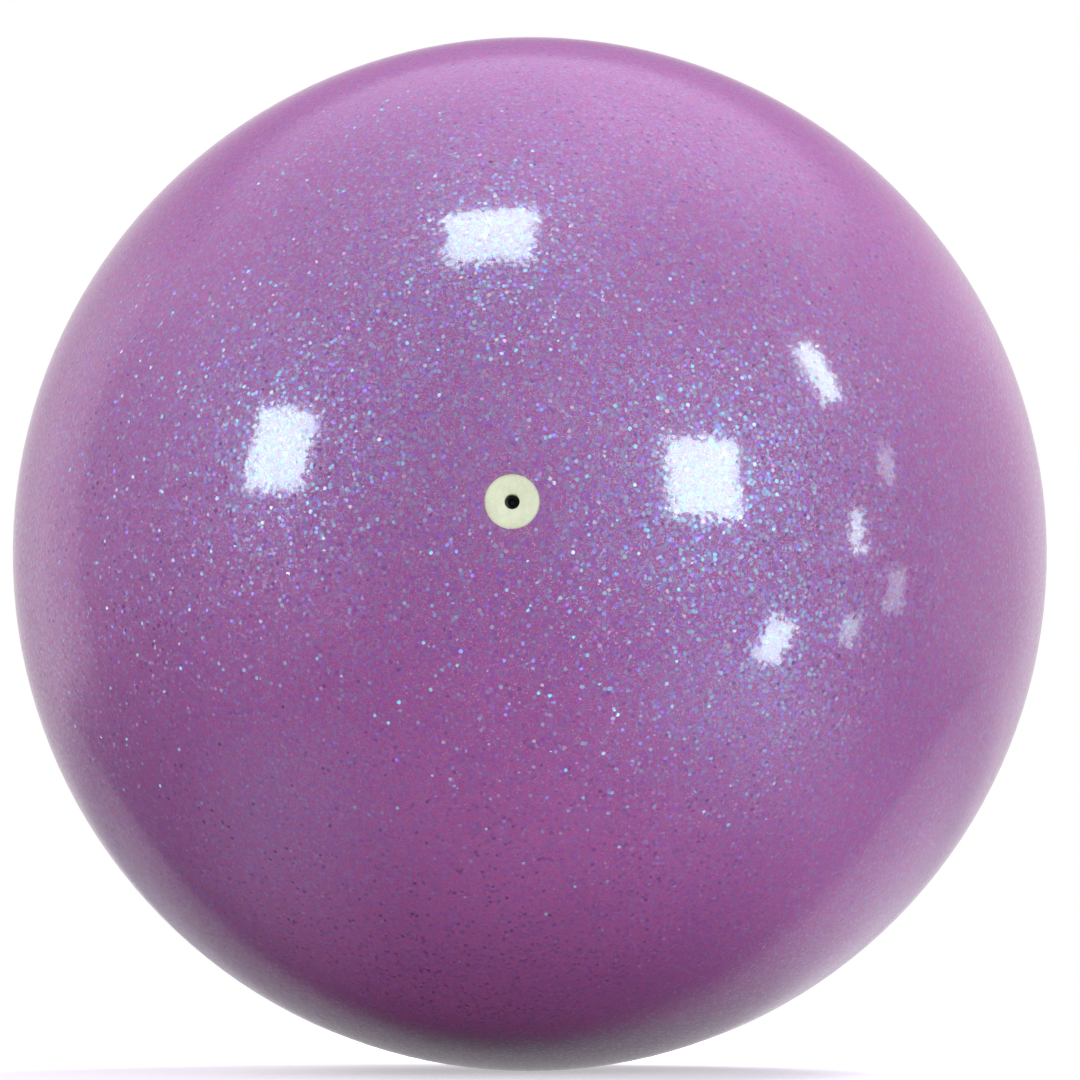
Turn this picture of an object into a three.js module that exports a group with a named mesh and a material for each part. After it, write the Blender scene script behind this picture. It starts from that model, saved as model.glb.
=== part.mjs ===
// Rhythmic gymnastics ball: a moulded rubber carcass under three thin coats, with a needle valve.
// Millimetres, +Z up. The origin is the centre of the ball and the valve looks along -Y.
import * as THREE from "three";

// Ball wall, from the outside in
const BALL_DIAMETER = 185;
const CLEAR_COAT_THICKNESS = 0.15;
const GLITTER_COAT_THICKNESS = 0.2;
const COLOUR_COAT_THICKNESS = 0.1;
const CARCASS_WALL = 2.8;

// Valve bung: the pale plug whose flat head shows in the surface
const HEAD_DIAMETER = 9;
const HEAD_THICKNESS = 1.8;
const HEAD_RECESS = 0.15;
const HEAD_EDGE = 0.3;
const BARREL_LENGTH = 11;
const BARREL_WALL = 0.9;
const BARREL_TAPER = 0.8;
const BARREL_TIP_EDGE = 0.4;
const NEEDLE_HOLE_DIAMETER = 2.4;
const NEEDLE_HOLE_DEPTH = 2.4;
const NEEDLE_HOLE_EDGE = 0.25;

// Needle core: the self-sealing insert that the pump needle goes through
const CORE_SHOULDER = 0.5;
const CORE_NOSE = 1.2;
const CORE_EDGE = 0.2;
const DIMPLE_DIAMETER = 1.6;
const DIMPLE_DEPTH = 0.7;

// Valve seat: the boss that is bonded inside the wall and grips the bung
const NECK_WALL = 1.4;
const TUBE_WALL = 2.2;
const TUBE_OVERRUN = 1.5;
const FLANGE_WIDTH = 10.4;
const FLANGE_THICKNESS = 2;
const FLANGE_LIP = 0.7;

// Balance patch: its thickness follows from the weight of the valve
const PATCH_DIAMETER = 36;
const PATCH_BEVEL = 2;
const PATCH_LIP_SHARE = 0.4;

// Fits
const LAYER_GAP = 0.02;
const BOND_GAP = 0.05;
const BUNG_CLEARANCE = 0.15;
const HEAD_CLEARANCE = 0.2;

// Facets
const SEGMENTS = 48;
const ARC_STEPS = 20;
const CAP_STEPS = 2;

// Radii of the layers
const ballRadius = BALL_DIAMETER / 2;
const clearInner = ballRadius - CLEAR_COAT_THICKNESS;
const glitterOuter = clearInner - LAYER_GAP;
const glitterInner = glitterOuter - GLITTER_COAT_THICKNESS;
const colourOuter = glitterInner - LAYER_GAP;
const colourInner = colourOuter - COLOUR_COAT_THICKNESS;
const carcassOuter = colourInner - LAYER_GAP;
const carcassInner = carcassOuter - CARCASS_WALL;

// Radii of the valve
const headRadius = HEAD_DIAMETER / 2;
const openingRadius = headRadius + HEAD_CLEARANCE;
const neckRadius = openingRadius + NECK_WALL;
const holeRadius = NEEDLE_HOLE_DIAMETER / 2;
const coreRadius = holeRadius + CORE_SHOULDER;
const coreBore = coreRadius + BOND_GAP;
const barrelTipRadius = coreBore + BARREL_WALL;
const barrelRadius = barrelTipRadius + BARREL_TAPER / 2;
const flangeRadius = neckRadius + FLANGE_WIDTH;

// Heights along the valve axis, measured outwards from the centre of the ball
const heightOn = (sphere, radius) => Math.sqrt(sphere ** 2 - radius ** 2);
const face = heightOn(ballRadius, openingRadius) - HEAD_RECESS;
const headUnder = face - HEAD_THICKNESS;
const barrelTip = headUnder - BARREL_LENGTH;
const coreTop = face - NEEDLE_HOLE_DEPTH;
const seatTop = heightOn(carcassOuter, neckRadius);
const seatFloor = headUnder - BUNG_CLEARANCE;
const tubeEnd = barrelTip - TUBE_OVERRUN;

// Angles from the valve axis at which every layer has its corners, so that no layer cuts its neighbour
const between = (from, to, steps) =>
  Array.from({ length: steps }, (_, i) => from + ((to - from) * i) / steps);
const neckAngle = Math.asin((neckRadius + BOND_GAP) / carcassOuter);
const flangeAngle = Math.asin(flangeRadius / carcassInner);
const patchAngle = Math.PI - Math.asin(PATCH_DIAMETER / 2 / carcassInner);
const corners = [
  ...between(neckAngle, flangeAngle, CAP_STEPS),
  ...between(flangeAngle, patchAngle, ARC_STEPS),
  ...between(patchAngle, Math.PI, CAP_STEPS),
  Math.PI,
];

// Points on a sphere at the given angles
const onSphere = (sphere, angles) =>
  angles.map((angle) => [sphere * Math.sin(angle), sphere * Math.cos(angle)]);

// Points from the edge of an opening along a sphere to the far pole
function fromOpening(sphere, opening) {
  const edge = Math.asin(opening / sphere);
  return onSphere(sphere, [edge, ...corners.filter((angle) => angle > edge * 1.05)]);
}

// Turns a profile of [radius, height] points about the valve axis
function turned(profile) {
  const points = profile.map(([radius, height]) => new THREE.Vector2(Math.max(radius, 0), -height));
  return new THREE.LatheGeometry(points, SEGMENTS);
}

// Volume times height above the centre, for the balance of the ball
function heightMoment(geometry) {
  const position = geometry.getAttribute("position");
  const index = geometry.getIndex();
  const a = new THREE.Vector3();
  const b = new THREE.Vector3();
  const c = new THREE.Vector3();
  let moment = 0;
  for (let i = 0; i < index.count; i += 3) {
    a.fromBufferAttribute(position, index.getX(i));
    b.fromBufferAttribute(position, index.getX(i + 1));
    c.fromBufferAttribute(position, index.getX(i + 2));
    const middle = -(a.y + b.y + c.y) / 4;
    moment += (a.dot(b.clone().cross(c)) / 6) * middle;
  }
  return moment;
}

// One layer of the ball, open at the valve
function layer(outer, inner, opening) {
  return turned([...fromOpening(inner, opening).reverse(), ...fromOpening(outer, opening)]);
}

const shapes = {};
shapes.clear_coat = layer(ballRadius, clearInner, openingRadius);
shapes.glitter_coat = layer(glitterOuter, glitterInner, openingRadius);
shapes.colour_coat = layer(colourOuter, colourInner, openingRadius);
shapes.carcass = layer(carcassOuter, carcassInner, neckRadius + BOND_GAP);

shapes.valve_bung = turned([
  [holeRadius + NEEDLE_HOLE_EDGE, face],
  [headRadius - HEAD_EDGE, face],
  [headRadius, face - HEAD_EDGE],
  [headRadius, headUnder],
  [barrelRadius, headUnder],
  [barrelTipRadius, barrelTip + BARREL_TIP_EDGE],
  [barrelTipRadius - BARREL_TIP_EDGE, barrelTip],
  [coreBore, barrelTip],
  [coreBore, coreTop],
  [holeRadius, coreTop],
  [holeRadius, face - NEEDLE_HOLE_EDGE],
  [holeRadius + NEEDLE_HOLE_EDGE, face],
]);

shapes.needle_core = turned([
  [0, coreTop - BOND_GAP - DIMPLE_DEPTH],
  [DIMPLE_DIAMETER / 2, coreTop - BOND_GAP],
  [coreRadius - CORE_EDGE, coreTop - BOND_GAP],
  [coreRadius, coreTop - BOND_GAP - CORE_EDGE],
  [coreRadius, barrelTip],
  [coreRadius * 0.75, barrelTip - CORE_NOSE * 0.7],
  [0, barrelTip - CORE_NOSE],
]);

// The seat: neck through the wall, flange along its inside, tube around the barrel
const flangeOuter = carcassInner - BOND_GAP;
const flangeInner = flangeOuter - FLANGE_THICKNESS;
const flangeShoulder = Math.asin((flangeRadius - FLANGE_THICKNESS) / flangeInner);
const bore = barrelRadius + BUNG_CLEARANCE;
const boreTip = barrelTipRadius + BUNG_CLEARANCE;
const tube = bore + TUBE_WALL;
const tubeTip = boreTip + TUBE_WALL;
shapes.valve_seat = turned([
  [openingRadius, seatTop],
  [neckRadius, seatTop],
  ...onSphere(flangeOuter, [Math.asin(neckRadius / flangeOuter), ...corners.slice(1, CAP_STEPS + 1)]),
  ...onSphere(flangeOuter - FLANGE_LIP, [flangeAngle]),
  ...onSphere(flangeInner, [flangeShoulder, Math.asin(tube / flangeInner)]),
  [tubeTip, tubeEnd],
  [boreTip, tubeEnd],
  [boreTip, barrelTip],
  [bore, seatFloor],
  [openingRadius, seatFloor],
  [openingRadius, seatTop],
]);

// The patch opposite weighs as much on its side as the valve adds on this one
const excess = Object.values(shapes).reduce((sum, shape) => sum + heightMoment(shape), 0);
const patchOuter = carcassInner - BOND_GAP;
const patchArea = Math.PI * (PATCH_DIAMETER / 2) ** 2;
const patchThickness = excess / (patchArea * patchOuter);
const patchInner = patchOuter - patchThickness;
const patchShoulder = Math.PI - Math.asin((PATCH_DIAMETER / 2 - PATCH_BEVEL) / patchInner);
shapes.balance_patch = turned([
  ...onSphere(patchInner, [...between(Math.PI, patchShoulder, CAP_STEPS), patchShoulder]),
  ...onSphere(patchOuter - patchThickness * PATCH_LIP_SHARE, [patchAngle]),
  ...onSphere(patchOuter, corners.slice(-CAP_STEPS - 1)),
]);

const finishes = {
  clear_coat: { color: 0x9a62b0, roughness: 0.08, metalness: 0 },
  glitter_coat: { color: 0x9d6fc0, roughness: 0.3, metalness: 0.4 },
  colour_coat: { color: 0x7f3f92, roughness: 0.5, metalness: 0 },
  carcass: { color: 0xb79fb2, roughness: 0.85, metalness: 0 },
  valve_seat: { color: 0xa88fa6, roughness: 0.85, metalness: 0 },
  valve_bung: { color: 0xdfe4cb, roughness: 0.6, metalness: 0 },
  needle_core: { color: 0x17141a, roughness: 0.8, metalness: 0 },
  balance_patch: { color: 0x8f7a92, roughness: 0.85, metalness: 0 },
};

const group = new THREE.Group();
for (const [name, shape] of Object.entries(shapes)) {
  const mesh = new THREE.Mesh(shape, new THREE.MeshStandardMaterial(finishes[name]));
  mesh.name = name;
  group.add(mesh);
}

export default group;
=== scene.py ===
"""Rhythmic gymnastics ball: violet glitter skin, needle valve and a plain studio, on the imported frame."""
import math

import bmesh
import bpy
from bpy.props import FloatProperty, FloatVectorProperty, IntProperty, PointerProperty
from bpy.types import Operator, Panel, PropertyGroup
from mathutils import Matrix, Vector


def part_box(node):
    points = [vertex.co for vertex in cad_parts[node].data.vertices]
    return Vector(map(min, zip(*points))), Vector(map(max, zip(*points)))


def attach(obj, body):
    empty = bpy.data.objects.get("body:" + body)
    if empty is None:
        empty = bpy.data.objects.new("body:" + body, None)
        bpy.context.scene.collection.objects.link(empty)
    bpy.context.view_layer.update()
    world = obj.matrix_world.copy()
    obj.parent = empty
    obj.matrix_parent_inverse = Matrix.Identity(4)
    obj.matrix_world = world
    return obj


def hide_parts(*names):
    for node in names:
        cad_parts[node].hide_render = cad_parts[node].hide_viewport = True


bl_info = {
    "name": "Rhythmic gymnastics ball",
    "version": (1, 0, 0),
    "blender": (4, 5, 0),
    "location": "View3D > Sidebar > Gym ball",
    "description": "Builds a glitter gymnastics ball with its needle valve and a plain studio",
    "category": "Object",
}

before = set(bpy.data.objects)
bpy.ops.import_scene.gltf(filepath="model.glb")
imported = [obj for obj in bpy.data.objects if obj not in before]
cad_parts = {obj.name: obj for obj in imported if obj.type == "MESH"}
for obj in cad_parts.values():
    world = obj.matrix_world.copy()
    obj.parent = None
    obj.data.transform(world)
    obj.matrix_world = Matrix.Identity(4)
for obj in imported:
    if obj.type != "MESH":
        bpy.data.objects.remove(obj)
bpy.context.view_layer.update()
COAT_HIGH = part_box("clear_coat")[1]
WALL_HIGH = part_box("carcass")[1]
SEAT_LOW, SEAT_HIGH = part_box("valve_seat")
BUNG_LOW, BUNG_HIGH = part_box("valve_bung")
CORE_LOW, CORE_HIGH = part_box("needle_core")
PATCH_LOW, PATCH_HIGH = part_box("balance_patch")


# Settings


class BallSizes(PropertyGroup):
    """Sizes of the ball's wall and skin"""

    radius: FloatProperty(
        name="Radius", description="Outside of the lacquer, from the centre of the ball",
        default=COAT_HIGH[1], min=0.07, max=0.11, unit="LENGTH",
    )
    skin: FloatProperty(
        name="Skin", description="Thickness of the paint, glitter and lacquer together",
        default=0.00049, min=0.0002, max=0.001, unit="LENGTH", precision=5,
    )
    opening: FloatProperty(
        name="Valve opening", description="Radius of the opening in the skin around the valve",
        default=BUNG_HIGH[0] + 0.0002, min=0.003, max=0.008, unit="LENGTH", precision=5,
    )
    lip: FloatProperty(
        name="Opening lip", description="How far the lacquer rounds over at the opening",
        default=0.00018, min=0.00005, max=0.0004, unit="LENGTH", precision=5,
    )
    wall_radius: FloatProperty(
        name="Wall radius", description="Outside of the rubber wall, from the centre of the ball",
        default=WALL_HIGH[1], min=0.07, max=0.11, unit="LENGTH",
    )
    wall: FloatProperty(
        name="Wall", description="Thickness of the rubber wall",
        default=0.0028, min=0.001, max=0.006, unit="LENGTH", precision=5,
    )
    bond: FloatProperty(
        name="Bond", description="Gap that the glue fills between the wall and what is stuck to it",
        default=0.00005, min=0.00001, max=0.0005, unit="LENGTH", precision=5,
    )
    patch: FloatProperty(
        name="Patch radius", description="Radius of the balance patch opposite the valve",
        default=PATCH_HIGH[0], min=0.01, max=0.03, unit="LENGTH", precision=5,
    )
    patch_bevel: FloatProperty(
        name="Patch bevel", description="Width of the sloping edge of the balance patch",
        default=0.002, min=0.0005, max=0.005, unit="LENGTH", precision=5,
    )
    sides: IntProperty(
        name="Sides", description="Facets around the valve axis", default=160, min=32, max=256,
    )
    rings: IntProperty(
        name="Rings", description="Facets from pole to pole", default=96, min=16, max=160,
    )


class ValveSizes(PropertyGroup):
    """Sizes of the valve bung, its core and its collar"""

    face: FloatProperty(
        name="Face", description="Height of the valve face above the centre of the ball",
        default=-BUNG_LOW[1], min=0.06, max=0.11, unit="LENGTH",
    )
    head: FloatProperty(
        name="Head radius", description="Radius of the bung's flat head",
        default=BUNG_HIGH[0], min=0.003, max=0.008, unit="LENGTH", precision=5,
    )
    head_thickness: FloatProperty(
        name="Head thickness", description="Thickness of the bung's head",
        default=0.0018, min=0.0005, max=0.004, unit="LENGTH", precision=5,
    )
    dish: FloatProperty(
        name="Dish", description="How far the head sinks towards the needle hole",
        default=0.00012, min=0.0, max=0.0005, unit="LENGTH", precision=5,
    )
    hole: FloatProperty(
        name="Needle hole", description="Radius of the hole for the pump needle",
        default=0.0012, min=0.0005, max=0.003, unit="LENGTH", precision=5,
    )
    hole_depth: FloatProperty(
        name="Hole depth", description="Depth of the hole down to the needle core",
        default=0.0024, min=0.001, max=0.005, unit="LENGTH", precision=5,
    )
    bore: FloatProperty(
        name="Core bore", description="Radius of the bore in the bung that holds the needle core",
        default=0.00175, min=0.001, max=0.004, unit="LENGTH", precision=5,
    )
    barrel: FloatProperty(
        name="Barrel radius", description="Radius of the bung's barrel under the head",
        default=0.00305, min=0.002, max=0.006, unit="LENGTH", precision=5,
    )
    barrel_tip: FloatProperty(
        name="Barrel tip", description="Radius of the bung's barrel at its inner end",
        default=0.00265, min=0.002, max=0.006, unit="LENGTH", precision=5,
    )
    fit: FloatProperty(
        name="Fit", description="Clearance between the bung and its collar",
        default=0.00015, min=0.00005, max=0.0005, unit="LENGTH", precision=5,
    )
    neck: FloatProperty(
        name="Neck wall", description="Wall of the collar's neck, which passes through the rubber wall",
        default=0.0014, min=0.0005, max=0.003, unit="LENGTH", precision=5,
    )
    tube: FloatProperty(
        name="Tube wall", description="Wall of the collar's tube around the barrel",
        default=0.0022, min=0.001, max=0.004, unit="LENGTH", precision=5,
    )
    flange: FloatProperty(
        name="Flange", description="Thickness of the collar's flange inside the wall",
        default=0.002, min=0.001, max=0.004, unit="LENGTH", precision=5,
    )
    sides: IntProperty(
        name="Sides", description="Facets around the valve axis", default=96, min=24, max=192,
    )


class FinishColours(PropertyGroup):
    """Colours of the paint, the rubber and the valve, as seen on screen"""

    violet: FloatVectorProperty(
        name="Violet", description="Paint under the glitter", subtype="COLOR_GAMMA", size=3,
        default=(0.672, 0.354, 0.586), min=0, max=1,
    )
    violet_deep: FloatVectorProperty(
        name="Deep violet", description="Darker drifts in the paint", subtype="COLOR_GAMMA", size=3,
        default=(0.634, 0.321, 0.556), min=0, max=1,
    )
    cream: FloatVectorProperty(
        name="Cream", description="Rubber of the valve bung", subtype="COLOR_GAMMA", size=3,
        default=(0.925, 0.929, 0.785), min=0, max=1,
    )
    black: FloatVectorProperty(
        name="Black", description="Rubber of the needle core", subtype="COLOR_GAMMA", size=3,
        default=(0.070, 0.065, 0.075), min=0, max=1,
    )
    wall: FloatVectorProperty(
        name="Wall rubber", description="Rubber of the wall", subtype="COLOR_GAMMA", size=3,
        default=(0.720, 0.620, 0.700), min=0, max=1,
    )
    collar: FloatVectorProperty(
        name="Collar rubber", description="Rubber of the bung's collar", subtype="COLOR_GAMMA", size=3,
        default=(0.660, 0.560, 0.650), min=0, max=1,
    )
    patch: FloatVectorProperty(
        name="Patch rubber", description="Rubber of the balance patch", subtype="COLOR_GAMMA", size=3,
        default=(0.560, 0.480, 0.570), min=0, max=1,
    )


class StudioSettings(PropertyGroup):
    """Camera and light"""

    azimuth: FloatProperty(
        name="Azimuth", description="Turn of the camera from facing the valve",
        default=math.radians(1.76), subtype="ANGLE",
    )
    elevation: FloatProperty(
        name="Elevation", description="Height of the camera as an angle",
        default=math.radians(-5.22), subtype="ANGLE",
    )
    distance: FloatProperty(
        name="Distance", description="From the camera to the centre of the ball",
        default=0.8, min=0.3, max=5, unit="LENGTH",
    )
    lens: FloatProperty(
        name="Focal length", description="Focal length on a 36 mm sensor, in millimetres",
        default=148.07, min=20, max=400, unit="CAMERA",
    )
    window_light: FloatProperty(
        name="Window light", description="Brightness of the windows that the lacquer mirrors",
        default=40.0, min=0, max=100,
    )
    key_light: FloatProperty(
        name="Key light", description="Brightness of the soft light beside the camera",
        default=2.85, min=0, max=20,
    )
    crown_light: FloatProperty(
        name="Crown light", description="Brightness of the soft light above and behind the ball",
        default=12.6, min=0, max=20,
    )
    side_light: FloatProperty(
        name="Side light", description="Brightness of the rosy light from behind on the left",
        default=4.2, min=0, max=20,
    )
    bounce_light: FloatProperty(
        name="Floor bounce", description="Brightness of the floor in front of the ball",
        default=0.24, min=0, max=20,
    )


class GymBallSettings(PropertyGroup):
    """Everything that a user would change"""

    ball: PointerProperty(name="Ball", description="Sizes of the wall and the skin", type=BallSizes)
    valve: PointerProperty(name="Valve", description="Sizes of the needle valve", type=ValveSizes)
    colours: PointerProperty(name="Colours", description="Colours of the finish", type=FinishColours)
    studio: PointerProperty(name="Studio", description="Camera and light", type=StudioSettings)


# Modelling helpers


# Edges sharper than this are rounded
SHARP_EDGE = math.radians(32)

# Edges sharper than these stay visible after smooth shading
RUBBER_CREASE = math.radians(40)
SHELL_CREASE = math.radians(50)

# Tolerances in metres, for points on a cut, on a level, at one place and on the outside of the skin
ON_CUT = 1e-7
LEVEL = 1e-6
ONE_POINT = 2e-6
ON_SKIN = 1e-5


def clear_selection():
    """Leaves edit mode and deselects every object."""
    if bpy.context.object and bpy.context.object.mode != "OBJECT":
        bpy.ops.object.mode_set(mode="OBJECT")
    bpy.ops.object.select_all(action="DESELECT")


def begin(name):
    """Names the new primitive, puts its place into its mesh and opens it for editing."""
    piece = bpy.context.object
    piece.name = name
    piece.data.name = name
    bpy.ops.object.transform_apply(location=True, rotation=True, scale=True)
    bpy.ops.object.mode_set(mode="EDIT")
    bpy.ops.mesh.select_all(action="SELECT")
    return piece


def select_edges(piece, chosen):
    """Selects the edges whose two ends both pass the test."""
    mesh = bmesh.from_edit_mesh(piece.data)
    bpy.ops.mesh.select_mode(type="EDGE")
    bpy.ops.mesh.select_all(action="DESELECT")
    for edge in mesh.edges:
        edge.select_set(all(chosen(vertex.co) for vertex in edge.verts))
    bmesh.update_edit_mesh(piece.data)


def off_axis(point):
    """Distance of a point from the valve axis."""
    return math.hypot(point.x, point.z)


def on_sphere(radius, *off):
    """Profile points on a sphere, at the given distances from the valve axis."""
    return [(distance, math.sqrt(radius ** 2 - distance ** 2)) for distance in off]


def turn(name, profile, sides):
    """Turns a profile of (radius, height) points about the valve axis, ring by ring."""
    clear_selection()
    radius, height = profile[0]
    bpy.ops.mesh.primitive_circle_add(
        vertices=sides, radius=radius, location=(0, -height, 0), rotation=(math.pi / 2, 0, 0)
    )
    piece = begin(name)
    for (was, low), (now, high) in zip(profile, profile[1:]):
        bpy.ops.mesh.extrude_edges_move(TRANSFORM_OT_translate={"value": (0, low - high, 0)})
        bpy.ops.transform.resize(value=(now / was, 1, now / was), center_override=(0, -high, 0))
    return piece


def cap(piece, height):
    """Closes the ring at that height with a fan of triangles."""
    select_edges(piece, lambda point: abs(point.y + height) < LEVEL)
    bpy.ops.mesh.edge_face_add()
    bpy.ops.mesh.poke()


def close(piece):
    """Joins coinciding points, turns the faces outwards and leaves edit mode."""
    bpy.ops.mesh.select_mode(type="VERT")
    bpy.ops.mesh.select_all(action="SELECT")
    bpy.ops.mesh.remove_doubles(threshold=ONE_POINT)
    bpy.ops.mesh.normals_make_consistent(inside=False)
    bpy.ops.object.mode_set(mode="OBJECT")


def round_edges(piece, width, segments=3):
    """Rounds every sharp edge, and shades the rest smooth."""
    bevel = piece.modifiers.new("Rounded edges", "BEVEL")
    bevel.width = width
    bevel.segments = segments
    bevel.limit_method = "ANGLE"
    bevel.angle_limit = SHARP_EDGE
    bpy.ops.object.modifier_apply(modifier=bevel.name)
    bpy.ops.object.shade_smooth_by_angle(angle=RUBBER_CREASE)


def dress(piece, material, body, slot, *nodes):
    """Gives a finished piece its material and its body, and hides the nodes that it stands for; the slot is
    not used.
    """
    piece.data.materials.clear()
    piece.data.materials.append(material)
    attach(piece, body)
    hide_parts(*nodes)


# Material helpers


def linear(colour):
    """A screen colour as the shader reads it, with alpha."""
    values = [c / 12.92 if c <= 0.04045 else ((c + 0.055) / 1.055) ** 2.4 for c in colour]
    return (*values, 1.0)


def feed(tree, value, socket):
    """Links another node's output to the socket, or writes a plain value into it."""
    if isinstance(value, bpy.types.NodeSocket):
        tree.links.new(value, socket)
    else:
        socket.default_value = value


def maths(tree, operation, *values):
    """The number that a maths node gives."""
    node = tree.nodes.new("ShaderNodeMath")
    node.operation = operation
    for value, socket in zip(values, node.inputs):
        feed(tree, value, socket)
    return node.outputs[0]


def vector_node(tree, operation, values):
    """Places a vector maths node and feeds it."""
    node = tree.nodes.new("ShaderNodeVectorMath")
    node.operation = operation
    for value, socket in zip(values, node.inputs):
        feed(tree, value, socket)
    return node


def vectors(tree, operation, *values):
    """The vector that a vector maths node gives."""
    return vector_node(tree, operation, values).outputs["Vector"]


def measured(tree, operation, *values):
    """The number that a vector maths node gives, such as a distance."""
    return vector_node(tree, operation, values).outputs["Value"]


def scaled(tree, vector, amount):
    """A vector times a number."""
    node = vector_node(tree, "SCALE", (vector,))
    feed(tree, amount, node.inputs["Scale"])
    return node.outputs["Vector"]


def mixed(tree, amount, first, second):
    """Colour between the first and the second."""
    node = tree.nodes.new("ShaderNodeMix")
    node.data_type = "RGBA"
    feed(tree, amount, node.inputs[0])
    feed(tree, first, node.inputs[6])
    feed(tree, second, node.inputs[7])
    return node.outputs[2]


def remap(tree, value, low, high, to_low, to_high, smooth=False):
    """A value moved from one range to another, and held at its ends."""
    node = tree.nodes.new("ShaderNodeMapRange")
    if smooth:
        node.interpolation_type = "SMOOTHSTEP"
    feed(tree, value, node.inputs[0])
    for socket, number in zip(node.inputs[1:5], (low, high, to_low, to_high)):
        feed(tree, number, socket)
    return node.outputs[0]


def noise(tree, vector, scale, detail=2.0, roughness=0.5):
    """The value of a noise texture."""
    node = tree.nodes.new("ShaderNodeTexNoise")
    feed(tree, vector, node.inputs["Vector"])
    node.inputs["Scale"].default_value = scale
    node.inputs["Detail"].default_value = detail
    node.inputs["Roughness"].default_value = roughness
    return node.outputs["Fac"]


def new_group(name, inputs, outputs):
    """A shader node group with named sockets; returns its tree, input node and output node."""
    tree = bpy.data.node_groups.new(name, "ShaderNodeTree")
    for label, kind in inputs:
        tree.interface.new_socket(label, in_out="INPUT", socket_type=kind)
    for label, kind in outputs:
        tree.interface.new_socket(label, in_out="OUTPUT", socket_type=kind)
    return tree, tree.nodes.new("NodeGroupInput"), tree.nodes.new("NodeGroupOutput")


def place_group(tree, group, **values):
    """Places a node group in a material with its own values; returns its outputs by name."""
    node = tree.nodes.new("ShaderNodeGroup")
    node.node_tree = group
    for label, value in values.items():
        feed(tree, value, node.inputs[label])
    return node.outputs


def new_material(name):
    """A material with an empty Principled shader; returns the material, its tree and the shader."""
    material = bpy.data.materials.new(name)
    material.use_nodes = True
    tree = material.node_tree
    return material, tree, tree.nodes["Principled BSDF"]


def object_position(tree):
    """The place of a point in its object's own frame."""
    return tree.nodes.new("ShaderNodeTexCoord").outputs["Object"]


def mirror_rays(tree, path):
    """One for the rays by which a mirror or glass sees, and nought for the others."""
    return maths(tree, "ADD", path.outputs["Is Glossy Ray"], path.outputs["Is Transmission Ray"])


# Finishes


# Tints of the flakes, each from its place on a scale of chance up to the next
FLAKE_TINTS = (
    (0.00, (0.02, 0.88, 0.90)),
    (0.34, (0.12, 0.66, 0.98)),
    (0.56, (0.15, 0.92, 0.78)),
    (0.66, (0.42, 0.52, 0.98)),
    (0.78, (0.72, 0.94, 0.98)),
    (0.90, (0.50, 0.40, 0.95)),
    (0.94, (0.96, 0.66, 0.88)),
    (0.97, (0.98, 0.94, 0.78)),
)

# Flakes of each size: cells to the metre, share of the cells that hold a flake, and lean
FINE_FLAKES = (4200.0, 0.97, 0.9)
LARGE_FLAKES = (1400.0, 0.80, 1.1)

# Shift that keeps the large flakes from lining up with the fine ones
LARGE_SHIFT = (0.31, 0.17, 0.23)

# What a fine and a large flake make of the paint's colour
FINE_VEIL = (1.03, 1.07, 1.09)
LARGE_VEIL = (0.86, 1.02, 1.16)

# Ripple of the lacquer: cells to the metre, and sway
RIPPLE_CELLS = 1500.0
RIPPLE_SWAY = 0.024

# The middle of a random colour, taken off so that it leans all ways alike
EVEN_CHANCE = (0.5, 0.5, 0.5)

# Brightness of the dark blotches in rubber, as a share of its colour
BLOTCHES = 0.82


def flakes(tree, position, cells, share, lean):
    """Flat flakes strewn through the lacquer: where they lie, what they mirror, and how they lean."""
    scatter = tree.nodes.new("ShaderNodeTexVoronoi")
    scatter.inputs["Scale"].default_value = cells
    feed(tree, position, scatter.inputs["Vector"])
    luck = tree.nodes.new("ShaderNodeSeparateColor")
    feed(tree, scatter.outputs["Color"], luck.inputs[0])
    there = maths(tree, "LESS_THAN", luck.outputs[0], share)
    edge = remap(tree, scatter.outputs["Distance"], 0.56, 0.46, 0.0, 1.0)
    mask = maths(tree, "MULTIPLY", there, edge)
    tints = tree.nodes.new("ShaderNodeValToRGB")
    tints.color_ramp.interpolation = "CONSTANT"
    while len(tints.color_ramp.elements) < len(FLAKE_TINTS):
        tints.color_ramp.elements.new(0.5)
    for element, (place, tint) in zip(tints.color_ramp.elements, FLAKE_TINTS):
        element.position = place
        element.color = linear(tint)
    feed(tree, luck.outputs[1], tints.inputs[0])
    gleam = maths(tree, "MULTIPLY", mask, remap(tree, luck.outputs[2], 0.0, 1.0, 0.5, 1.0))
    mirrored = mixed(tree, gleam, (0, 0, 0, 1), tints.outputs[0])
    dice = tree.nodes.new("ShaderNodeTexWhiteNoise")
    feed(tree, scatter.outputs["Position"], dice.inputs["Vector"])
    way = vectors(tree, "SUBTRACT", dice.outputs["Color"], EVEN_CHANCE)
    amount = maths(tree, "MULTIPLY", maths(tree, "MULTIPLY", dice.outputs["Value"], lean), mask)
    return mask, mirrored, scaled(tree, way, amount)


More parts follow.
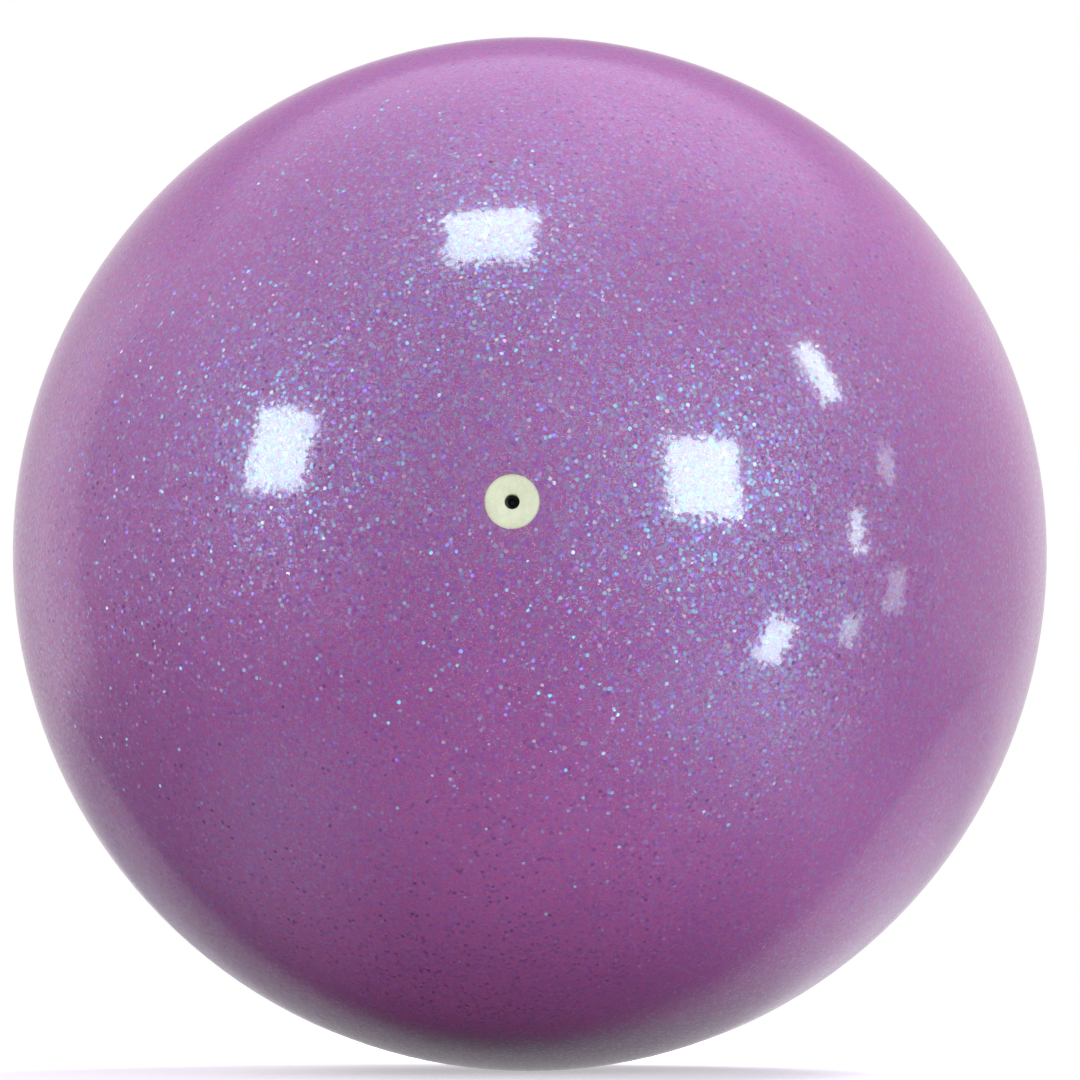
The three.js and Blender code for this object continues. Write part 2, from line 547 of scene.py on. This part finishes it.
def rubber_group():
    """Moulded rubber: soft mottling in the colour, and a fine grain for roughness and relief."""
    name = "Moulded rubber"
    if name in bpy.data.node_groups:
        return bpy.data.node_groups[name]
    tree, given, result = new_group(
        name,
        (
            ("Position", "NodeSocketVector"),
            ("Light", "NodeSocketColor"),
            ("Dark", "NodeSocketColor"),
        ),
        (
            ("Colour", "NodeSocketColor"),
            ("Roughness", "NodeSocketFloat"),
            ("Grain", "NodeSocketFloat"),
        ),
    )
    position = given.outputs["Position"]
    drift = noise(tree, position, 260.0, detail=3.0)
    specks = noise(tree, position, 2600.0, detail=2.0, roughness=0.6)
    blotches = maths(tree, "MULTIPLY_ADD", specks, 0.5, drift)
    mottle = remap(tree, blotches, 0.55, 0.95, 0.0, 1.0)
    feed(tree, mixed(tree, mottle, given.outputs["Dark"], given.outputs["Light"]), result.inputs["Colour"])
    feed(tree, remap(tree, specks, 0.3, 0.7, 0.46, 0.62), result.inputs["Roughness"])
    feed(tree, specks, result.inputs["Grain"])
    return tree


def glitter_lacquer(colours):
    """Violet paint, two sizes of holographic flake, and the clear gloss over them."""
    material, tree, shader = new_material("Violet glitter lacquer")
    position = object_position(tree)
    drift = remap(tree, noise(tree, position, 16.0, detail=3.0), 0.35, 0.65, 0.0, 1.0, smooth=True)
    ground = mixed(tree, drift, linear(colours.violet_deep), linear(colours.violet))
    fine, fine_mirrors, fine_lean = flakes(tree, position, *FINE_FLAKES)
    aside = vectors(tree, "ADD", position, LARGE_SHIFT)
    large, large_mirrors, large_lean = flakes(tree, aside, *LARGE_FLAKES)
    covered = maths(tree, "MAXIMUM", fine, large)
    veiled = mixed(tree, fine, ground, vectors(tree, "MULTIPLY", ground, FINE_VEIL))
    hidden = vectors(tree, "MULTIPLY", ground, LARGE_VEIL)
    feed(tree, mixed(tree, large, veiled, hidden), shader.inputs["Base Color"])
    feed(tree, remap(tree, covered, 0.0, 1.0, 0.0, 0.03), shader.inputs["Metallic"])
    rough = remap(tree, fine, 0.0, 1.0, 0.60, 0.50)
    feed(tree, remap(tree, large, 0.0, 1.0, rough, 0.41), shader.inputs["Roughness"])
    feed(tree, mixed(tree, large, fine_mirrors, large_mirrors), shader.inputs["Specular Tint"])
    shader.inputs["IOR"].default_value = 2.0
    surface = tree.nodes.new("ShaderNodeNewGeometry").outputs["Normal"]
    leaning = vectors(tree, "ADD", surface, mixed(tree, large, fine_lean, large_lean))
    feed(tree, vectors(tree, "NORMALIZE", leaning), shader.inputs["Normal"])
    feed(tree, remap(tree, large, 0.0, 1.0, 1.0, 0.92), shader.inputs["Coat Weight"])
    shader.inputs["Coat Roughness"].default_value = 0.085
    shader.inputs["Coat IOR"].default_value = 1.26
    grains = tree.nodes.new("ShaderNodeTexVoronoi")
    grains.inputs["Scale"].default_value = RIPPLE_CELLS
    feed(tree, position, grains.inputs["Vector"])
    sway = scaled(tree, vectors(tree, "SUBTRACT", grains.outputs["Color"], EVEN_CHANCE), RIPPLE_SWAY)
    rippled = vectors(tree, "ADD", surface, sway)
    feed(tree, vectors(tree, "NORMALIZE", rippled), shader.inputs["Coat Normal"])
    return material


def rubber(name, colour, relief):
    """Moulded rubber of one colour."""
    material, tree, shader = new_material(name)
    light = linear(colour)
    dark = (*(c * BLOTCHES for c in light[:3]), 1.0)
    made = place_group(tree, rubber_group(), Position=object_position(tree), Light=light, Dark=dark)
    feed(tree, made["Colour"], shader.inputs["Base Color"])
    feed(tree, made["Roughness"], shader.inputs["Roughness"])
    bump = tree.nodes.new("ShaderNodeBump")
    bump.inputs["Strength"].default_value = 0.5
    bump.inputs["Distance"].default_value = relief
    feed(tree, made["Grain"], bump.inputs["Height"])
    feed(tree, bump.outputs[0], shader.inputs["Normal"])
    return material


# Pieces


# Depth of the outer edge of the patch and of the flange, as a share of their thickness
PATCH_LIP = 0.4
FLANGE_LIP = 0.35

# The dimple in the needle core, from its bottom up: radius and depth in metres
DIMPLE = ((0.0002, 0.0007), (0.0006, 0.0004), (0.0008, 0.0))


def shell(name, radius, thickness, opening, sides, rings):
    """A hollow sphere with its wall inwards and a round opening at the valve."""
    clear_selection()
    bpy.ops.mesh.primitive_uv_sphere_add(
        segments=sides, ring_count=rings, radius=radius, rotation=(math.pi / 2, 0, 0)
    )
    piece = begin(name)
    level = math.sqrt(radius ** 2 - opening ** 2)
    bpy.ops.mesh.bisect(plane_co=(0, -level, 0), plane_no=(0, -1, 0), clear_outer=True, threshold=ON_CUT)
    close(piece)
    wall = piece.modifiers.new("Wall", "SOLIDIFY")
    wall.thickness = thickness
    wall.offset = -1
    bpy.ops.object.modifier_apply(modifier=wall.name)
    return piece


class GYMBALL_OT_skin(Operator):
    """Makes the painted and lacquered skin of the ball"""

    bl_idname = "gymball.skin"
    bl_label = "Glitter skin"

    def execute(self, context):
        sizes = context.scene.gym_ball.ball
        skin = shell("ball_skin", sizes.radius, sizes.skin, sizes.opening, sizes.sides, sizes.rings)
        bpy.ops.object.mode_set(mode="EDIT")
        edge = sizes.opening * 1.001
        select_edges(skin, lambda p: p.y < 0 and off_axis(p) < edge and p.length > sizes.radius - ON_SKIN)
        bpy.ops.mesh.bevel(offset=sizes.lip, segments=4, affect="EDGES")
        bpy.ops.object.mode_set(mode="OBJECT")
        bpy.ops.object.shade_smooth_by_angle(angle=SHELL_CREASE)
        dress(
            skin, glitter_lacquer(context.scene.gym_ball.colours), "ball", "glitter_lacquer",
            "clear_coat", "glitter_coat", "colour_coat",
        )
        return {"FINISHED"}


class GYMBALL_OT_wall(Operator):
    """Makes the moulded rubber wall and the balance patch inside it"""

    bl_idname = "gymball.wall"
    bl_label = "Rubber wall"

    def execute(self, context):
        settings = context.scene.gym_ball
        self.wall(settings.ball, settings.valve, settings.colours)
        self.patch(settings.ball, settings.colours)
        return {"FINISHED"}

    def wall(self, sizes, valve, colours):
        """The hollow wall, whose hole leaves room for the collar's neck on the inside too."""
        widening = sizes.wall_radius / (sizes.wall_radius - sizes.wall)
        hole = (sizes.opening + valve.neck + sizes.bond) * widening
        piece = shell("rubber_wall", sizes.wall_radius, sizes.wall, hole, sizes.sides, sizes.rings)
        bpy.ops.object.shade_smooth_by_angle(angle=SHELL_CREASE)
        dress(piece, rubber("Wall rubber", colours.wall, relief=0.00008), "ball", "carcass_rubber", "carcass")

    def patch(self, sizes, colours):
        """The balance patch, a shallow bowl with a sloping edge."""
        outer = sizes.wall_radius - sizes.wall - sizes.bond
        rim = sizes.patch
        shoulder = rim - sizes.patch_bevel
        inner = math.hypot(PATCH_LOW[1], shoulder)
        lip = outer - (outer - inner) * PATCH_LIP
        middle = 0.0004
        rings = [
            *on_sphere(inner, middle, shoulder * 0.35, shoulder * 0.7, shoulder),
            *on_sphere(lip, rim * lip / outer),
            *on_sphere(outer, rim, rim * 0.7, rim * 0.35, middle),
        ]
        profile = [(distance, -height) for distance, height in rings]
        piece = turn("balance_disc", profile, sizes.sides)
        cap(piece, profile[0][1])
        cap(piece, profile[-1][1])
        close(piece)
        round_edges(piece, width=0.0003)
        material = rubber("Patch rubber", colours.patch, relief=0.0001)
        dress(piece, material, "ball", "patch_rubber", "balance_patch")


class GYMBALL_OT_valve(Operator):
    """Makes the valve bung, the needle core and the collar that grips them"""

    bl_idname = "gymball.valve"
    bl_label = "Needle valve"

    def execute(self, context):
        settings = context.scene.gym_ball
        self.bung(settings.valve, settings.colours)
        self.core(settings.valve, settings.colours)
        self.collar(settings.ball, settings.valve, settings.colours)
        return {"FINISHED"}

    def bung(self, sizes, colours):
        """The pale plug: a slightly dished head on a tapering barrel, bored for the core."""
        face = sizes.face
        under = face - sizes.head_thickness
        tip = -BUNG_HIGH[1]
        floor = face - sizes.hole_depth
        dish_bottom = sizes.hole + 0.0008
        dish_top = sizes.head - 0.0012
        crest = sizes.head - 0.0006
        hole_edge = face - sizes.dish - 0.00005
        head_edge = face - 0.00012
        profile = [
            (sizes.hole, floor),
            (sizes.hole, hole_edge),
            (dish_bottom, face - sizes.dish * 0.8),
            (dish_top, face - sizes.dish * 0.1),
            (crest, face),
            (sizes.head, head_edge),
            (sizes.head, under),
            (sizes.barrel, under),
            (sizes.barrel_tip, tip),
            (sizes.bore, tip),
            (sizes.bore, floor),
            (sizes.hole, floor),
        ]
        piece = turn("needle_bung", profile, sizes.sides)
        close(piece)
        round_edges(piece, width=0.0002, segments=4)
        material = rubber("Cream rubber", colours.cream, relief=0.00003)
        dress(piece, material, "valve", "cream_rubber", "valve_bung")

    def core(self, sizes, colours):
        """The insert at the bottom of the hole: a rod with a dimple on top and a blunt nose."""
        top = -CORE_LOW[1]
        nose = -CORE_HIGH[1]
        radius = CORE_HIGH[0]
        shoulder = nose + 0.0012
        cheek = nose + 0.00036
        profile = [
            *((distance, top - depth) for distance, depth in DIMPLE),
            (radius, top),
            (radius, shoulder),
            (radius * 0.75, cheek),
            (radius * 0.3, nose),
        ]
        piece = turn("sealing_core", profile, sizes.sides)
        cap(piece, profile[0][1])
        cap(piece, profile[-1][1])
        close(piece)
        round_edges(piece, width=0.00015)
        material = rubber("Black rubber", colours.black, relief=0.00003)
        dress(piece, material, "valve", "black_rubber", "needle_core")

    def collar(self, ball, sizes, colours):
        """The boss that grips the bung: a neck through the wall, a flange inside it and a tube."""
        top = -SEAT_LOW[1]
        end = -SEAT_HIGH[1]
        neck = ball.opening + sizes.neck
        edge = SEAT_HIGH[0]
        outer = ball.wall_radius - ball.wall - ball.bond
        lip = outer - sizes.flange * FLANGE_LIP
        inner = outer - sizes.flange
        shoulder = edge - sizes.flange
        bore = sizes.barrel + sizes.fit
        bore_tip = sizes.barrel_tip + sizes.fit
        tube = bore + sizes.tube
        floor = sizes.face - sizes.head_thickness - sizes.fit
        profile = [
            (ball.opening, top),
            (neck, top),
            *on_sphere(outer, neck, (neck * 2 + edge) / 3, (neck + edge * 2) / 3, edge),
            *on_sphere(lip, edge * lip / outer),
            *on_sphere(inner, shoulder, (shoulder + tube) / 2, tube),
            (bore_tip + sizes.tube, end),
            (bore_tip, end),
            (bore_tip, -BUNG_HIGH[1]),
            (bore, floor),
            (ball.opening, floor),
            (ball.opening, top),
        ]
        piece = turn("grip_collar", profile, sizes.sides)
        close(piece)
        round_edges(piece, width=0.00015)
        material = rubber("Collar rubber", colours.collar, relief=0.00006)
        dress(piece, material, "ball", "seat_rubber", "valve_seat")


# Studio


def camera_axes(studio):
    """Right, up and towards the camera, for the camera's place around the ball."""
    across = Vector((math.cos(studio.azimuth), math.sin(studio.azimuth), 0))
    towards = Vector((
        math.sin(studio.azimuth) * math.cos(studio.elevation),
        -math.cos(studio.azimuth) * math.cos(studio.elevation),
        math.sin(studio.elevation),
    ))
    return across, towards.cross(across), towards


def aim(obj, place):
    """Puts an object at a place, looking at the centre of the ball along its own -Z."""
    obj.location = place
    obj.rotation_euler = (-place).to_track_quat("-Z", "Y").to_euler()


def lamp(name, width, height, radiance, colour):
    """A rectangular lamp of a given brightness, which the camera doesn't see."""
    data = bpy.data.lights.new(name, "AREA")
    data.shape = "RECTANGLE"
    data.size = width
    data.size_y = height
    data.color = colour
    data.energy = radiance * math.pi * width * height
    light = bpy.data.objects.new(name, data)
    bpy.context.scene.collection.objects.link(light)
    light.visible_camera = False
    return light


# Sides of the picture in pixels, and where the ball's centre lies in it
PICTURE = 1080
BALL_IN_PICTURE = (529.8, 554.0)

# Width of the camera's sensor in millimetres
SENSOR = 36

# Windows in the lacquer: name, middle, width and height in pixels, tilt in degrees, distance, brightness
WINDOWS = (
    ("Window above", (490, 234), 92, 52, -3, 2.0, 1.0),
    ("Window left", (280, 449), 58, 82, 4, 2.0, 1.2),
    ("Window right", (705, 477), 74, 80, 0, 2.0, 1.3),
    ("Window upper right", (818, 371), 20, 64, -25, 2.0, 1.1),
    ("Window side", (857, 531), 14, 38, 5, 2.0, 0.95),
    ("Window far side", (887, 466), 13, 34, 5, 2.0, 0.3),
    ("Low window", (773, 645), 27, 56, 24, 0.17, 1.2),
    ("Low window beyond", (849, 631), 15, 32, 15, 0.17, 0.47),
    ("Low window far", (896, 590), 18, 44, 5, 0.17, 0.24),
)
WINDOW_COLOUR = (0.66, 1.0, 0.96)

# Distance of the soft lights from the ball in metres
LAMP_DISTANCE = 2.0

# Ways to the bright sides of the room, which the flakes pick up, and how bright each is
BRIGHT_SIDES = (
    ((0.68, -0.73, -0.09), 0.45),
    ((-0.96, -0.26, -0.10), 0.28),
)
BRIGHT_COLOUR = (0.45, 1.0, 1.0)

# Wall that the rim of the ball mirrors, in the light and in the shade
WALL_LIT = (0.92, 0.86, 0.90, 1)
WALL_SHADED = (0.40, 0.28, 0.40, 1)

# Radius of the floor, and where its fade begins and ends, in metres
FLOOR_RADIUS = 0.6
FLOOR_FADE = (0.2, 0.58)

# Where the floor throws light back at the ball
BOUNCE_SPOT = (0.02, -0.085)

# The middle of the shade on the floor to the left of the ball
SHADED_SPOT = (-0.08, -0.06)

# Painted pools of light on the floor, glowing where the windows' light would fall, which only mirrors see:
# each pool's middle, its reach and its strength
PAINTED_LIGHT_POOLS = (
    ((0.125, -0.135), 0.11, 3.2),
    ((-0.088, -0.086), 0.08, 1.25),
)
PAINTED_POOL_COLOUR = (0.45, 1.0, 0.98, 1)


def mirror(studio, radius, x, y):
    """The point of the ball at a place in the picture, and the way that its mirror image looks."""
    across, up, towards = camera_axes(studio)
    focal = studio.lens / SENSOR * PICTURE
    eye = towards * studio.distance
    ray = across * ((x - BALL_IN_PICTURE[0]) / focal) - up * ((y - BALL_IN_PICTURE[1]) / focal) - towards
    ray.normalize()
    along = -eye.dot(ray)
    point = eye + ray * (along - math.sqrt(radius ** 2 - eye.length_squared + along ** 2))
    normal = point.normalized()
    return point, ray - normal * (2 * ray.dot(normal))


def window(studio, radius, name, middle, wide, high, tilt, distance, brightness):
    """A lamp that the ball mirrors at a place in the picture, and that gives no soft light."""
    x, y = middle
    turn_x = math.cos(math.radians(tilt))
    turn_y = math.sin(math.radians(tilt))
    ends = []
    for right, rise in ((-wide, 0), (wide, 0), (0, -high), (0, high)):
        spot = (x + (right * turn_x + rise * turn_y) / 2, y + (right * turn_y - rise * turn_x) / 2)
        point, way = mirror(studio, radius, *spot)
        ends.append(point + way * distance)
    point, way = mirror(studio, radius, x, y)
    side = ends[1] - ends[0]
    height = ends[3] - ends[2]
    light = lamp(name, side.length, height.length, studio.window_light * brightness, WINDOW_COLOUR)
    side = (side - way * side.dot(way)).normalized()
    place = Matrix((side, way.cross(side), way)).transposed().to_4x4()
    place.translation = point + way * distance
    light.matrix_world = place
    light.visible_diffuse = False


def pale_floor(radius):
    """A pale floor with light and shade on it that only the ball sees, clear towards its edge."""
    material, tree, shader = new_material("Pale floor")
    shader.inputs["Roughness"].default_value = 0.9
    shader.inputs["Specular IOR Level"].default_value = 0.1
    path = tree.nodes.new("ShaderNodeLightPath")
    mirrored = mirror_rays(tree, path)
    position = object_position(tree)
    parts = tree.nodes.new("ShaderNodeSeparateXYZ")
    feed(tree, position, parts.inputs[0])
    across, back = parts.outputs[:2]

    # Colour: painted shade, darker in mirrors and darkest in front of the ball, and a painted shade to the
    # left of the ball in the light that the floor throws back
    # Painted shade for mirrors: the floor is darker to them, darkest in front of an arc round the ball's foot
    beside = maths(tree, "SUBTRACT", across, 0.03)
    arc = maths(tree, "MULTIPLY", maths(tree, "MULTIPLY", beside, beside), 1.9)
    beyond = maths(tree, "SUBTRACT", maths(tree, "ADD", back, 0.033), arc)
    behind = remap(tree, beyond, 0.0, 0.014, 0.0, 1.0, smooth=True)
    dim = mixed(tree, behind, (0.10, 0.09, 0.10, 1), (0.20, 0.19, 0.20, 1))
    # Painted shade to the left of the ball, met only by the light that the floor throws back
    from_shade = measured(tree, "DISTANCE", position, (*SHADED_SPOT, -radius))
    shade = remap(tree, from_shade, 0.07, 0.17, 1.0, 0.0, smooth=True)
    dark = maths(tree, "MULTIPLY", path.outputs["Is Diffuse Ray"], shade)
    pale = mixed(tree, dark, (0.74, 0.73, 0.74, 1), (0.20, 0.20, 0.22, 1))
    feed(tree, mixed(tree, mirrored, pale, dim), shader.inputs["Base Color"])

    # Light: a painted glow behind the ball and painted pools of light, which only mirrors see, and an even
    # glow that the camera sees
    # Painted glow on the floor behind the ball, stronger to the right and nearer the ball
    level = maths(
        tree, "MULTIPLY",
        remap(tree, across, 0.0, 0.11, 0.42, 0.85, smooth=True),
        remap(tree, back, 0.0, 0.16, 1.0, 0.45, smooth=True),
    )
    glow = maths(tree, "MULTIPLY", behind, level)
    # Painted pools of light, which only mirrors see
    painted_pool_light = 0.0
    for middle, reach, strength in PAINTED_LIGHT_POOLS:
        away = measured(tree, "DISTANCE", position, (*middle, -radius))
        spot = remap(tree, away, 0.0, reach, strength, 0.0, smooth=True)
        painted_pool_light = maths(tree, "ADD", painted_pool_light, spot)
    cool = maths(tree, "MULTIPLY", mirrored, remap(tree, painted_pool_light, 0.0, 1.0, 0.0, 1.0))
    feed(tree, mixed(tree, cool, (1, 1, 1, 1), PAINTED_POOL_COLOUR), shader.inputs["Emission Color"])
    shown = maths(tree, "MULTIPLY", mirrored, maths(tree, "ADD", glow, painted_pool_light))
    lit = maths(tree, "MULTIPLY_ADD", path.outputs["Is Camera Ray"], 0.45, shown)
    feed(tree, lit, shader.inputs["Emission Strength"])

    # Fade
    out = measured(tree, "LENGTH", vectors(tree, "MULTIPLY", position, (1, 1, 0)))
    clear = tree.nodes.new("ShaderNodeBsdfTransparent")
    fade = tree.nodes.new("ShaderNodeMixShader")
    feed(tree, remap(tree, out, *FLOOR_FADE, 0.0, 1.0, smooth=True), fade.inputs[0])
    feed(tree, shader.outputs[0], fade.inputs[1])
    feed(tree, clear.outputs[0], fade.inputs[2])
    feed(tree, fade.outputs[0], tree.nodes["Material Output"].inputs[0])
    return material


class GYMBALL_OT_studio(Operator):
    """Sets up the camera, the floor, the lamps and the surroundings"""

    bl_idname = "gymball.studio"
    bl_label = "Studio"

    def execute(self, context):
        scene = context.scene
        studio = scene.gym_ball.studio
        self.camera(scene, studio)
        self.lamps(studio, scene.gym_ball.ball.radius)
        self.surroundings(scene)
        self.floor(scene.gym_ball.ball.radius)
        scene.view_settings.view_transform = "Standard"
        return {"FINISHED"}

    def camera(self, scene, studio):
        """The camera, which looks at the centre of the ball and is shifted to the picture's framing."""
        data = bpy.data.cameras.new("Camera")
        data.sensor_width = SENSOR
        data.lens = studio.lens
        data.shift_x = 0.5 - BALL_IN_PICTURE[0] / PICTURE
        data.shift_y = BALL_IN_PICTURE[1] / PICTURE - 0.5
        data.clip_start = 0.01
        camera = bpy.data.objects.new("Camera", data)
        scene.collection.objects.link(camera)
        aim(camera, camera_axes(studio)[2] * studio.distance)
        scene.camera = camera

    def lamps(self, studio, radius):
        """The windows that the lacquer mirrors, and soft lights that it doesn't."""
        for values in WINDOWS:
            window(studio, radius, *values)
        across, up, towards = camera_axes(studio)
        key = lamp("Key light", 1.4, 1.2, studio.key_light, (0.92, 1.0, 0.98))
        aim(key, (up * 0.20 - across * 0.13 + towards * 0.96) * LAMP_DISTANCE)
        crown = lamp("Crown light", 1.4, 1.0, studio.crown_light, (0.92, 0.94, 1.0))
        aim(crown, (across * 0.35 + up * 0.80 - towards * 0.48) * LAMP_DISTANCE)
        side = lamp("Side light", 1.0, 1.2, studio.side_light, (1.0, 0.8, 0.95))
        aim(side, (up * 0.60 - across * 0.72 - towards * 0.38) * LAMP_DISTANCE)
        bounce = lamp("Floor bounce", 0.16, 0.10, studio.bounce_light, (1.0, 0.82, 0.88))
        bounce.location = (*BOUNCE_SPOT, 0.001 - radius)
        bounce.rotation_euler = (math.pi, 0, 0)
        for light in (key, crown, side, bounce):
            light.visible_glossy = False

    def surroundings(self, scene):
        """White for the camera, a soft room for the light, and that room with a pale wall for mirrors."""
        world = bpy.data.worlds.new("Studio")
        world.use_nodes = True
        tree = world.node_tree
        direction = tree.nodes.new("ShaderNodeTexCoord").outputs["Generated"]
        parts = tree.nodes.new("ShaderNodeSeparateXYZ")
        feed(tree, direction, parts.inputs[0])
        across, back, up = parts.outputs
        room = tree.nodes.new("ShaderNodeValToRGB")
        for element, (place, level) in zip(room.color_ramp.elements, ((0.25, 0.16), (1.0, 1.35))):
            element.position = place
            element.color = (level, level, level * 1.18, 1)
        middle = room.color_ramp.elements.new(0.5)
        middle.color = (0.40, 0.40, 0.41, 1)
        feed(tree, remap(tree, up, -1.0, 1.0, 0.0, 1.0), room.inputs[0])
        aside = maths(tree, "ABSOLUTE", across)
        behind = maths(tree, "MULTIPLY_ADD", across, 0.12, maths(tree, "MULTIPLY_ADD", aside, 0.06, back))
        wall = maths(
            tree, "MULTIPLY",
            remap(tree, behind, 0.33, 0.38, 0.0, 1.0, smooth=True),
            remap(tree, maths(tree, "ABSOLUTE", up), 0.74, 0.62, 0.0, 1.0, smooth=True),
        )
        path = tree.nodes.new("ShaderNodeLightPath")
        mirrored = mirror_rays(tree, path)
        sunk = maths(tree, "MULTIPLY_ADD", aside, -0.35, up)
        shade = remap(tree, sunk, 0.16, 0.50, 0.0, 1.0, smooth=True)
        paper = mixed(tree, shade, WALL_LIT, WALL_SHADED)
        sides = maths(
            tree, "ADD", remap(tree, across, -0.82, -0.50, 0.75, 0.0, smooth=True),
            remap(tree, across, 0.15, 0.55, 0.85, 1.15, smooth=True),
        )
        paper = scaled(tree, paper, sides)
        glow = 0.0
        for way, strength in BRIGHT_SIDES:
            facing = measured(tree, "DOT_PRODUCT", direction, way)
            there = remap(tree, facing, 0.66, 0.98, 0.0, strength, smooth=True)
            glow = maths(tree, "ADD", glow, there)
        room_shown = vectors(tree, "ADD", room.outputs[0], scaled(tree, BRIGHT_COLOUR, glow))
        soft = mixed(tree, mirrored, scaled(tree, room.outputs[0], 0.52), room_shown)
        walled = mixed(tree, maths(tree, "MULTIPLY", mirrored, wall), soft, paper)
        shown = mixed(tree, path.outputs["Is Camera Ray"], walled, (1, 1, 1, 1))
        feed(tree, shown, tree.nodes["Background"].inputs["Color"])
        scene.world = world

    def floor(self, radius):
        """A round floor that fades out before its edge."""
        clear_selection()
        bpy.ops.mesh.primitive_circle_add(
            vertices=96, radius=FLOOR_RADIUS, fill_type="NGON", location=(0, 0, -radius)
        )
        floor = begin("Floor")
        bpy.ops.object.mode_set(mode="OBJECT")
        floor.data.materials.append(pale_floor(radius))


class GYMBALL_PT_panel(Panel):
    """Lists the settings and the steps of the ball"""

    bl_idname = "GYMBALL_PT_panel"
    bl_label = "Gymnastics ball"
    bl_space_type = "VIEW_3D"
    bl_region_type = "UI"
    bl_category = "Gym ball"

    def draw(self, context):
        settings = context.scene.gym_ball
        for title, group in (
            ("Ball", settings.ball),
            ("Valve", settings.valve),
            ("Colours", settings.colours),
            ("Studio", settings.studio),
        ):
            box = self.layout.box()
            box.label(text=title)
            for name in group.__annotations__:
                box.prop(group, name)
        for step in STEPS:
            self.layout.operator(step.bl_idname)


STEPS = (GYMBALL_OT_skin, GYMBALL_OT_wall, GYMBALL_OT_valve, GYMBALL_OT_studio)
CLASSES = (BallSizes, ValveSizes, FinishColours, StudioSettings, GymBallSettings, *STEPS, GYMBALL_PT_panel)


def register():
    for kind in CLASSES:
        bpy.utils.register_class(kind)
    bpy.types.Scene.gym_ball = PointerProperty(
        name="Gymnastics ball", description="Settings of the ball and its studio", type=GymBallSettings
    )


def unregister():
    del bpy.types.Scene.gym_ball
    for kind in reversed(CLASSES):
        bpy.utils.unregister_class(kind)


def main():
    register()
    bpy.ops.gymball.skin()
    bpy.ops.gymball.wall()
    bpy.ops.gymball.valve()
    bpy.ops.gymball.studio()


if __name__ == "__main__":
    main()
